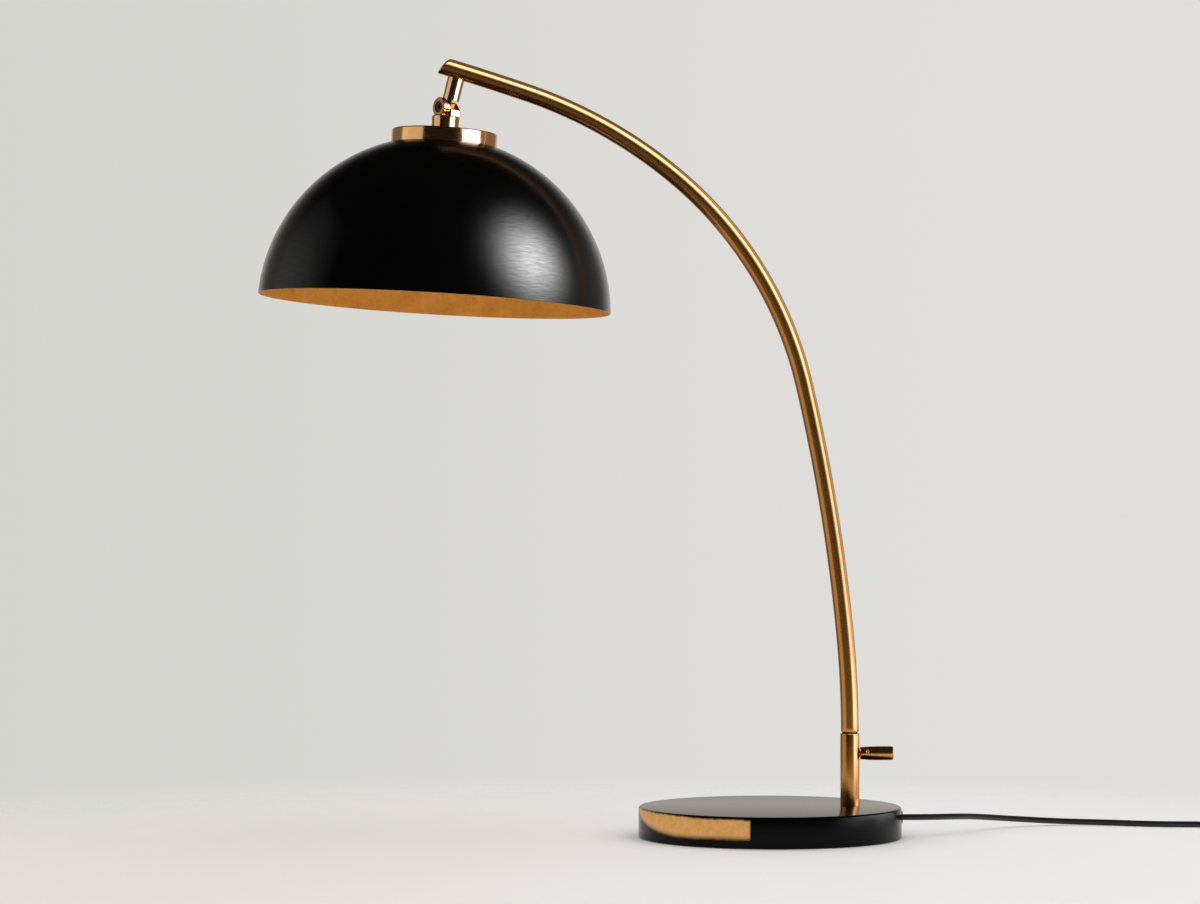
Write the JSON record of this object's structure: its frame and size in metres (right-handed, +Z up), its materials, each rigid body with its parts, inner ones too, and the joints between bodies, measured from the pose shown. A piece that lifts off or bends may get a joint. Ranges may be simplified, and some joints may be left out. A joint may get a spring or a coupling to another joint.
{
  "type": "desk lamp",
  "caption": "Desk lamp with a round weighted base, an arched brass arm that swivels in a clamped post, and a tilting dome shade hung under its end.",
  "frame": {"origin": "centre of the round base's underside, on the surface that the lamp stands on", "axes": "+Z up; +X from the base's centre towards the stem and the cord's exit; the shade hangs at -X at rest"},
  "size_m": [0.8752, 0.2827, 0.5941],
  "materials": {
    "black_satin": "satin black paint",
    "cast_iron": "raw casting",
    "steel": "zinc plated",
    "felt": "black felt",
    "black_rubber": "moulded",
    "lead_sheath": "wire insulation",
    "cord_sheath": "smooth round mains cord",
    "antique_brass": "brushed antique brass, lacquered",
    "polished_brass": "polished antique brass",
    "thread_brass": "bare brass",
    "screw_steel": "blackened",
    "nylon": "dark nylon",
    "black_plastic": "fine satin",
    "nickel": "nickel plated",
    "ceramic": "glazed white",
    "bulb_black": "black glass",
    "opal_glass": "opal"
  },
  "bodies": {
    "base": {"base_cover": "black_satin", "base_weight": "cast_iron", "base_plate": "steel", "base_screws": "steel", "felt_pad": "felt", "cord_gland": "black_rubber", "base_lead": "lead_sheath", "stem_post": "antique_brass", "stem_nipple": "steel", "stem_washer": "steel", "stem_nut": "steel", "swivel_washer": "nylon", "cord_free": "cord_sheath", "cord_link": "cord_sheath", "switch_lower": "black_plastic", "switch_upper": "black_plastic", "rocker_pin": "steel", "cord_coil": "cord_sheath", "plug_body": "black_plastic", "plug_pins": "nickel"},
    "clamp_tip": {"clamp_pad": "antique_brass"},
    "clamp_screw": {"clamp_knob": "antique_brass"},
    "arm": {"arm_spindle": "steel", "arm_tube": "antique_brass", "arm_end_cap": "antique_brass", "arm_stub": "polished_brass", "arm_lead": "lead_sheath", "knuckle_tongue": "polished_brass"},
    "shade": {"knuckle_fork": "polished_brass", "pivot_screw": "screw_steel", "pivot_nut": "screw_steel", "friction_washers": "nylon", "shade_dome": "black_satin", "shade_cap": "polished_brass", "cap_spacer": "steel", "shade_nipple": "steel", "shade_washer": "steel", "shade_nut": "antique_brass", "holder_cap": "antique_brass", "holder_skirt": "antique_brass", "holder_insulator": "ceramic", "holder_screw_shell": "thread_brass", "holder_contact": "thread_brass", "holder_lead": "lead_sheath", "bulb_contact": "nickel", "bulb_insulator": "bulb_black", "bulb_cap": "nickel", "bulb_glass": "opal_glass"},
    "rocker": {"switch_rocker": "black_plastic"}
  },
  "joints": [
    {"name": "arm_swivel", "type": "hinge", "parent": "base", "child": "arm", "pos_m": [0.061, 0, 0.0796], "axis": [0, 0, 1], "range_deg": [-120, 120]},
    {"name": "shade_tilt", "type": "hinge", "parent": "arm", "child": "shade", "pos_m": [-0.2469, 0, 0.5563], "axis": [-0.7642, -0.6434, 0.0441], "range_deg": [-40, 40]},
    {"name": "clamp_slide", "type": "slide", "parent": "base", "child": "clamp_tip", "axis": [1, 0, 0], "range_m": [0, 0.0016]},
    {"name": "clamp_turn", "type": "hinge", "parent": "clamp_tip", "child": "clamp_screw", "pos_m": [0.08, 0, 0.0636], "axis": [1, 0, 0], "range_deg": [0, 720]},
    {"name": "rocker_tilt", "type": "hinge", "parent": "base", "child": "rocker", "pos_m": [0.391, -0.024, 0.0124], "axis": [1, 0, 0], "range_deg": [-9, 9]}
  ],
  "couplings": [
    {"joint": "clamp_turn", "follows": "clamp_slide", "rad_per_m": 7854}
  ]
}
